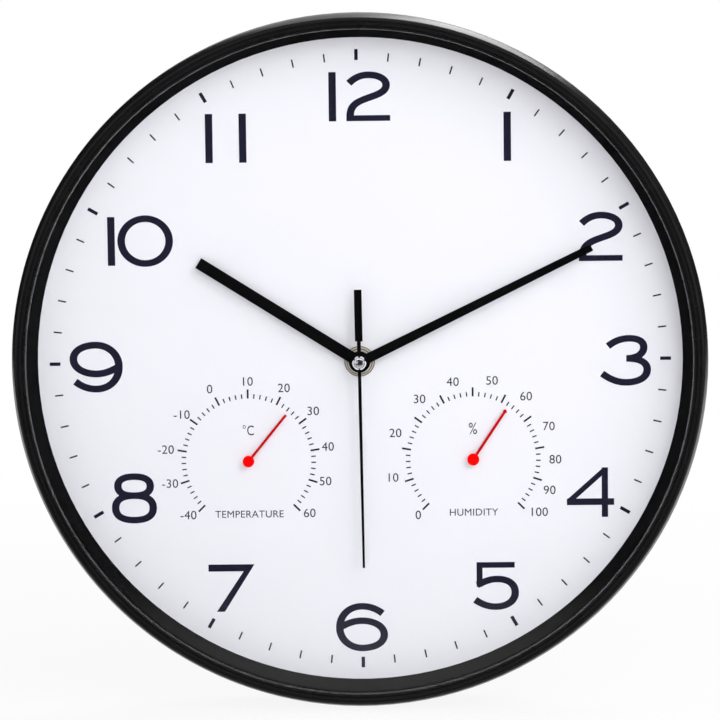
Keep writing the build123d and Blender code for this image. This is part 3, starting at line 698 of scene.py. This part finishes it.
def joined(polygons):
    """Flat mesh of polygons that may overlap, each a list of points, as one sheet without doubles."""
    points = []
    faces = []
    for polygon in polygons:
        course = polygon if turns_left(polygon) else polygon[::-1]
        faces.append(list(range(len(points), len(points) + len(course))))
        points += [Vector(point) for point in course]
    inside = 1
    corners, _, triangles, _, _, owners = delaunay_2d_cdt(points, [], faces, inside, outline_gap)
    kept = [triangle for triangle, owner in zip(triangles, owners) if owner]
    mesh = bpy.data.meshes.new("print")
    mesh.from_pydata([(*corner, 0.0) for corner in corners], [], kept)
    return mesh


def thickened(mesh, thickness):
    """Gives a flat mesh a back at z = 0 and a front at `thickness`."""
    shape = bmesh.new()
    shape.from_mesh(mesh)
    bmesh.ops.remove_doubles(shape, verts=shape.verts, dist=weld_gap)
    bmesh.ops.dissolve_degenerate(shape, edges=shape.edges, dist=weld_gap)
    loose = [vertex for vertex in shape.verts if not vertex.link_faces]
    bmesh.ops.delete(shape, geom=loose, context="VERTS")
    bmesh.ops.recalc_face_normals(shape, faces=shape.faces)
    raised = bmesh.ops.extrude_face_region(shape, geom=shape.faces[:])["geom"]
    top = [item for item in raised if isinstance(item, bmesh.types.BMVert)]
    bmesh.ops.translate(shape, verts=top, vec=(0, 0, thickness))
    bmesh.ops.recalc_face_normals(shape, faces=shape.faces)
    shape.to_mesh(mesh)
    shape.free()
    return mesh


# Numbers, drawn with a pen that is a little wider on uprights than on levels
def bar(left, bottom, right, top):
    return [(left, bottom), (right, bottom), (right, top), (left, top)]


def stroke(start, *bends):
    """Outline of a pen stroke through curves, each two handles and an end."""
    line = [Vector((*start, 0))]
    for handle, second, end in bends:
        points = [line[-1]] + [Vector((*point, 0)) for point in (handle, second, end)]
        line += interpolate_bezier(*points, curve_steps)[1:]
    first_handle, last_handle = Vector((*bends[0][0], 0)), Vector((*bends[-1][1], 0))
    ahead = [first_handle, *line[2:], line[-1]]
    behind = [line[0], *line[:-2], last_handle]
    left, right = [], []
    for point, following, passed in zip(line, ahead, behind):
        course = (following - passed).normalized()
        half = Vector((course.x * pen_level, course.y * pen_upright)).length / 2
        side = Vector((-course.y, course.x, 0)) * half
        left.append((point + side).to_2d())
        right.append((point - side).to_2d())
    return left + right[::-1]


def loop(middle, reach, rise, fullness):
    """Closed round as two strokes; fullness 0.55 is an ellipse and more is squarer."""
    x, y = middle
    halves = []
    for side in (-1, 1):
        halves.append(
            stroke(
                (x, y - rise),
                (
                    (x + side * fullness * reach, y - rise),
                    (x + side * reach, y - fullness * rise),
                    (x + side * reach, y),
                ),
                (
                    (x + side * reach, y + fullness * rise),
                    (x + side * fullness * reach, y + rise),
                    (x, y + rise),
                ),
            )
        )
    return halves


def six():
    """Strokes of the hook and the bowl."""
    return [
        stroke(
            (20.4, 16.6),
            ((17.8, 18.7), (14.8, 19.85), (11.4, 19.85)),
            ((5.6, 19.85), (1.55, 15.9), (1.55, 10.3)),
            ((1.55, 5.2), (5.9, 1.3), (11.4, 1.3)),
        ),
        stroke(
            (11.4, 1.3),
            ((17.0, 1.3), (21.05, 3.6), (21.05, 7.2)),
            ((21.05, 11.0), (16.6, 13.45), (11.2, 13.45)),
            ((8.0, 13.45), (5.0, 12.4), (1.9, 10.6)),
        ),
    ]


def nine():
    """A six turned half round and drawn a little larger."""
    width, height = nine_size
    across, up = width / six_size[0], height / six_size[1]
    return [[(width - x * across, height - y * up) for x, y in outline] for outline in six()]


# Width, height and outlines of each digit, from its lower left corner
digits = {
    "0": (24.0, 22.2, loop((12.0, 11.1), 10.45, 9.75, 0.55)),
    "1": (3.2, 21.2, [bar(0, 0, 3.2, 21.2)]),
    "2": (
        18.8,
        21.2,
        [
            stroke(
                (1.1, 16.3),
                ((3.4, 18.6), (6.2, 19.85), (9.4, 19.85)),
                ((13.8, 19.85), (17.2, 18.1), (17.2, 15.5)),
                ((17.2, 12.3), (13.0, 11.2), (8.9, 9.8)),
                ((4.0, 8.1), (1.55, 6.6), (1.55, 2.0)),
                ((1.55, 1.4), (1.55, 0.7), (1.55, 0.0)),
            ),
            bar(0, 0, 18.8, 2.5),
        ],
    ),
    "3": (
        22.2,
        21.9,
        [
            stroke(
                (3.6, 17.2),
                ((6.4, 19.5), (9.5, 20.55), (12.8, 20.55)),
                ((16.6, 20.55), (19.1, 19.2), (19.1, 16.7)),
                ((19.1, 13.6), (16.0, 11.8), (11.5, 11.8)),
            ),
            stroke(
                (11.5, 11.8),
                ((17.0, 11.8), (20.6, 10.2), (20.6, 6.9)),
                ((20.6, 3.2), (16.5, 1.35), (11.5, 1.35)),
                ((7.5, 1.35), (4.2, 2.9), (1.0, 5.3)),
            ),
        ],
    ),
    "4": (
        20.6,
        21.8,
        [
            bar(15.2, 0, 17.95, 21.8),
            bar(0, 5.3, 20.6, 8.2),
            [(0, 5.3), (4.1, 8.2), (15.2, 18.1), (15.2, 21.8), (15.9, 21.8), (0, 7.7)],
        ],
    ),
    "5": (
        20.1,
        21.1,
        [
            bar(1.7, 18.6, 18.4, 21.1),
            bar(1.7, 10.2, 4.3, 21.1),
            stroke(
                (1.9, 11.0),
                ((5.2, 12.6), (7.5, 13.6), (10.6, 13.6)),
                ((15.6, 13.6), (18.55, 11.4), (18.55, 7.6)),
                ((18.55, 3.9), (15.0, 1.35), (10.0, 1.35)),
                ((6.6, 1.35), (3.6, 2.6), (1.0, 4.5)),
            ),
        ],
    ),
    "6": (*six_size, six()),
    "7": (20.2, 21.0, [[(0, 17.9), (15.4, 17.9), (3.4, 0), (6.9, 0), (20.2, 21.0), (0, 21.0)]]),
    "8": (19.6, 21.8, loop((9.8, 16.3), 7.1, 4.2, 0.66) + loop((9.8, 6.7), 8.25, 5.4, 0.66)),
    "9": (*nine_size, nine()),
}


def hour_number(number):
    """Outlines of a number's digits side by side, centred on its place."""
    gap = digit_gaps.get(number, 0.0)
    total = sum(digits[digit][0] for digit in number) + gap * (len(number) - 1)
    across, up = number_places[number]
    left = across - total / 2
    outlines = []
    for digit in number:
        width, height, shapes = digits[digit]
        for shape in shapes:
            outlines.append([(left + x, up - height / 2 + y) for x, y in shape])
        left += width + gap
    return outlines


def print_hour_numbers():
    """Twelve numbers, each a piece of its own."""
    for number in number_places:
        mesh = thickened(joined(hour_number(number)), ink_thickness)
        add_print("hour_number_" + number, mesh, navy_ink, hands_axis)


# Marks on a circle
def mark_ring_tree():
    """Geometry nodes for bars set around a centre, with the place after every run of bars left out."""
    tree = bpy.data.node_groups.new("mark_ring", "GeometryNodeTree")
    sheet = Sheet(tree)
    inputs = (
        ("Count", "NodeSocketInt"),
        ("Inner", "NodeSocketFloat"),
        ("Outer", "NodeSocketFloat"),
        ("Width", "NodeSocketFloat"),
        ("Thickness", "NodeSocketFloat"),
        ("Start", "NodeSocketFloat"),
        ("Step", "NodeSocketFloat"),
        ("First", "NodeSocketInt"),
        ("Run", "NodeSocketInt"),
        ("Material", "NodeSocketMaterial"),
    )
    for name, kind in inputs:
        tree.interface.new_socket(name, in_out="INPUT", socket_type=kind)
    tree.interface.new_socket("Geometry", in_out="OUTPUT", socket_type="NodeSocketGeometry")
    entry = tree.nodes.new("NodeGroupInput")
    given = {name: Wire(sheet, entry.outputs[name]) for name, _ in inputs}
    index = sheet.node("GeometryNodeInputIndex")
    passed = sheet.node("ShaderNodeMath", {"operation": "FLOOR"}, {0: index / given["Run"]})
    degrees = given["Start"] + given["Step"] * (given["First"] + index + passed)
    turn = sheet.node("ShaderNodeMath", {"operation": "RADIANS"}, {0: degrees})
    middle = (given["Inner"] + given["Outer"]) * 0.5
    place = sheet.node(
        "ShaderNodeCombineXYZ",
        sockets={
            "X": middle * sheet.node("ShaderNodeMath", {"operation": "SINE"}, {0: turn}),
            "Y": middle * sheet.node("ShaderNodeMath", {"operation": "COSINE"}, {0: turn}),
            "Z": given["Thickness"] * 0.5,
        },
    )
    points = sheet.node("GeometryNodePoints", sockets={"Count": given["Count"], "Position": place})
    size = sheet.node(
        "ShaderNodeCombineXYZ",
        sockets={"X": given["Width"], "Y": given["Outer"] - given["Inner"], "Z": given["Thickness"]},
    )
    mark = sheet.node("GeometryNodeMeshCube", sockets={"Size": size})
    facing = sheet.node("ShaderNodeCombineXYZ", sockets={"Z": turn * -1.0})
    rotation = sheet.node("FunctionNodeEulerToRotation", sockets={"Euler": facing})
    marks = sheet.node(
        "GeometryNodeInstanceOnPoints",
        sockets={"Points": points, "Instance": mark, "Rotation": rotation},
    )
    whole = sheet.node("GeometryNodeRealizeInstances", sockets={"Geometry": marks})
    inked = sheet.node(
        "GeometryNodeSetMaterial", sockets={"Geometry": whole, "Material": given["Material"]}
    )
    leave = tree.nodes.new("NodeGroupOutput")
    tree.links.new(inked.socket, leave.inputs["Geometry"])
    return tree


mark_ring = mark_ring_tree()


def ring_of_marks(name, centre, ink, sizes):
    """Marks around a centre on the dial, as one plain mesh."""
    values = {"Thickness": ink_thickness, "Start": 0.0, "First": 0, "Run": endless_run, "Material": ink}
    values.update(sizes)
    carrier = bpy.data.objects.new(name + "_carrier", bpy.data.meshes.new(name))
    bpy.context.scene.collection.objects.link(carrier)
    modifier = carrier.modifiers.new("marks", "NODES")
    modifier.node_group = mark_ring
    for item in mark_ring.interface.items_tree:
        if item.in_out == "INPUT":
            modifier[item.identifier] = values[item.name]
    view = bpy.context.evaluated_depsgraph_get()
    mesh = bpy.data.meshes.new_from_object(carrier.evaluated_get(view), depsgraph=view)
    bpy.data.objects.remove(carrier)
    add_print(name, mesh, ink, centre)


# Small figures and words
def lettering(words, height):
    """Flat mesh of words centred on its middle, figures `height` tall."""
    curve = bpy.data.curves.new("words", "FONT")
    curve.body = words
    curve.size = height / figure_share
    curve.space_character = letter_space
    curve.align_x = "CENTER"
    curve.align_y = "BOTTOM_BASELINE"
    writer = bpy.data.objects.new("words", curve)
    bpy.context.scene.collection.objects.link(writer)
    view = bpy.context.evaluated_depsgraph_get()
    mesh = bpy.data.meshes.new_from_object(writer.evaluated_get(view), depsgraph=view)
    bpy.data.objects.remove(writer)
    mesh.transform(Matrix.Translation((0, -height / 2, 0)))
    return mesh


def scale_print(name, centre, items):
    """Prints words around a gauge's arbor; each item is words, height, stretch and place."""
    whole = bmesh.new()
    for words, height, stretch, across, up in items:
        mesh = lettering(words, height)
        mesh.transform(Matrix.Translation((across, up, 0)) @ Matrix.Diagonal((stretch, 1, 1, 1)))
        whole.from_mesh(mesh)
        bpy.data.meshes.remove(mesh)
    mesh = bpy.data.meshes.new(name)
    whole.to_mesh(mesh)
    whole.free()
    add_print(name, thickened(mesh, ink_thickness), grey_ink, centre)


def print_gauge(name, centre, figures, unit, unit_height, word):
    """Scale, figures, unit and word of one gauge; figures are texts with their places."""
    part = scale_sweep / scale_parts
    common = {"Start": scale_start, "Inner": scale_inner}
    majors = {"Count": scale_parts + 1, "Outer": major_outer, "Width": major_width, "Step": part}
    minors = {
        "Count": scale_parts * scale_minors,
        "Outer": minor_outer,
        "Width": minor_width,
        "Step": part / (scale_minors + 1),
        "First": 1,
        "Run": scale_minors,
    }
    ring_of_marks(name + "_scale_majors", centre, grey_ink, {**common, **majors})
    ring_of_marks(name + "_scale_minors", centre, grey_ink, {**common, **minors})
    items = [(text, scale_figure_height, 1.0, *place) for text, place in figures.items()]
    items.append((unit, unit_height, unit_narrow, 0.0, unit_rise))
    items.append((word, word_height, 1.0, 0.0, -word_drop))
    scale_print(name + "_figures", centre, items)


# Signs on the movement's lid
def on_circle(radius, degrees):
    """Point on a circle, anticlockwise from the right."""
    return radius * cos(radians(degrees)), radius * sin(radians(degrees))


def turning_arrow():
    """Outlines of an arrow that bends clockwise around the setting knob."""
    turns = [arrow_start + (arrow_end - arrow_start) * i / arrow_steps for i in range(arrow_steps + 1)]
    outer = [on_circle(arrow_radius + sign_pen / 2, turn) for turn in turns]
    inner = [on_circle(arrow_radius - sign_pen / 2, turn) for turn in turns]
    tip_turn = arrow_end - arrow_tip * arrow_head / arrow_radius * 180 / pi
    head = [on_circle(arrow_radius + side * arrow_head / 2, arrow_end) for side in (-1, 1)]
    return [outer + inner[::-1], head + [on_circle(arrow_radius, tip_turn)]]


def mould_sign(name, outlines, centre):
    """Raises a sign on the rear face of the movement's lid."""
    mesh = thickened(joined(outlines), sign_rise)
    mesh.transform(seen_plane(centre, lid_high.y, -1))
    add_piece(name, mesh, finishes["movement_black"], node_bodies["movement_lid"])


def mould_signs():
    """Polarity signs over the cell's two ends and the arrow around the knob."""
    half, pen = sign_span / 2, sign_pen / 2
    level, upright = bar(-half, -pen, half, pen), bar(-pen, -half, pen, half)
    row = lid_low.z + sign_lift * mm
    mould_sign("sign_plus", [level, upright], Vector((sign_side * mm, 0, row)))
    mould_sign("sign_minus", [level], Vector((-sign_side * mm, 0, row)))
    mould_sign("sign_arrow", turning_arrow(), knob_axis)


ring_of_marks("hour_marks", hands_axis, navy_ink, hour_marks)
ring_of_marks("minute_marks", hands_axis, navy_ink, minute_marks)
print_hour_numbers()
print_gauge("thermometer", thermometer_axis, thermometer_figures, "°C", degree_height, "TEMPERATURE")
print_gauge("hygrometer", hygrometer_axis, hygrometer_figures, "%", percent_height, "HUMIDITY")
mould_signs()

smooth_copy("spacer_ring", "spacer_black")
for node in ("front_frame", "second_hand_cap", "fixing_nut", "dial_washer", "battery", "setting_knob"):
    smooth_copy(node)


# Studio
def white_for_sight(sheet):
    """1 for what is seen, mirrored or seen through, 0 for light on the object."""
    kinds = ("Camera", "Glossy", "Transmission")
    seen = [sheet.node("ShaderNodeLightPath", out=f"Is {kind} Ray") for kind in kinds]
    return sheet.node("ShaderNodeClamp", sockets={"Value": seen[0] + seen[1] + seen[2]})


def white_room():
    """World that looks white and adds only a little light."""
    world = bpy.data.worlds.new("studio")
    world.use_nodes = True
    bpy.context.scene.world = world
    sheet = Sheet(world.node_tree)
    strength = white_for_sight(sheet) * (backdrop_white - room_light) + room_light
    walls = sheet.node("ShaderNodeBackground", sockets={"Color": (1, 1, 1, 1), "Strength": strength})
    sheet.node("ShaderNodeOutputWorld", sockets={"Surface": walls})


def soft_lamps():
    """Square lamps that face the clock's middle."""
    for name, lamp in lamps.items():
        light = bpy.data.lights.new(name, "AREA")
        light.size = lamp["size"]
        light.energy = lamp["watts"]
        holder = bpy.data.objects.new(name, light)
        holder.location = clock_middle + Vector(lamp["at"])
        holder.rotation_euler = (clock_middle - holder.location).to_track_quat("-Z", "Y").to_euler()
        holder.visible_glossy = lamp["mirrored"]
        bpy.context.scene.collection.objects.link(holder)


def studio_panel(name, size, place, material):
    """Flat square panel that belongs to the studio."""
    shape = bmesh.new()
    bmesh.ops.create_grid(shape, size=size / 2, matrix=place)
    mesh = bpy.data.meshes.new(name)
    shape.to_mesh(mesh)
    shape.free()
    mesh.materials.append(material)
    panel = bpy.data.objects.new(name, mesh)
    bpy.context.scene.collection.objects.link(panel)
    return panel


def pale_floor():
    """Floor that looks nearly white and keeps the clock's shadow."""
    paint = Paint("pale_floor")
    tone = paint.blend(paint.noise(floor_cloud), *floor_tones)
    sockets = {"Base Color": tone, "Roughness": floor_rough}
    plain = paint.node("ShaderNodeBsdfPrincipled", sockets=sockets)
    white = paint.node("ShaderNodeEmission", sockets={"Strength": backdrop_white})
    far = paint.node("ShaderNodeVectorMath", {"operation": "LENGTH"}, {0: paint.place()}, out="Value")
    fade = paint.step(far, floor_near, floor_far) * (1 - floor_show) + floor_show
    share = white_for_sight(paint) * fade
    seen = paint.node("ShaderNodeMixShader", sockets={0: share, 1: plain, 2: white})
    under = Matrix.Translation((clock_middle.x, clock_middle.y, cad_box[0].z - floor_gap))
    studio_panel("floor", floor_size, under, paint.show(seen))


def dark_cards():
    """Dark cards on the floor that only polished faces mirror; each glows with painted light in place of the
    lamplight it would send back, the low one more towards the clock.
    """
    ground = Vector((0, 0, cad_box[0].z - floor_gap + card_lift))
    for name, card in cards.items():
        paint = Paint(name)
        shade = paint.noise(card_cloth) * card_dark
        if name == "card_low":
            shade = paint.step(paint.axis("Y"), card_fade_far, card_fade_near) + shade
        colour = paint.blend(shade, (card_dark,) * 3, (card_pale,) * 3)
        turn = Euler([radians(angle) for angle in card["turned"]]).to_matrix().to_4x4()
        wide = Matrix.Diagonal((card["stretch"], 1, 1, 1))
        place = Matrix.Translation(ground + Vector(card["at"])) @ turn @ wide
        # Painted light: each card glows instead of being lit by the lamps, and the low card's pale end is seen in
        # the lens as a light haze.
        glow = paint.node("ShaderNodeEmission", sockets={"Color": colour})
        panel = studio_panel(name, card_size, place, paint.show(glow))
        panel.visible_camera = False
        panel.visible_diffuse = False
        panel.visible_shadow = False


def photo_camera():
    """Camera with a pixel of the photo's size on the dial."""
    camera = bpy.data.cameras.new("photo_camera")
    camera.sensor_width = sensor_width
    camera.lens = sensor_width * view_distance / (photo_pixels * dial_pixel)
    camera.clip_start = view_near
    holder = bpy.data.objects.new("photo_camera", camera)
    aim = Vector((hands_axis.x + aim_right, dial_front, hands_axis.z + aim_up))
    back = Vector(
        (sin(view_side) * cos(view_height), -cos(view_side) * cos(view_height), sin(view_height))
    )
    turn = (-back).to_track_quat("-Z", "Y").to_matrix().to_4x4()
    roll = Matrix.Rotation(view_roll, 4, "Z")
    holder.matrix_world = Matrix.Translation(aim + back * view_distance) @ turn @ roll
    bpy.context.scene.collection.objects.link(holder)
    bpy.context.scene.camera = holder


white_room()
soft_lamps()
pale_floor()
dark_cards()
photo_camera()
bpy.context.scene.view_settings.view_transform = "Standard"
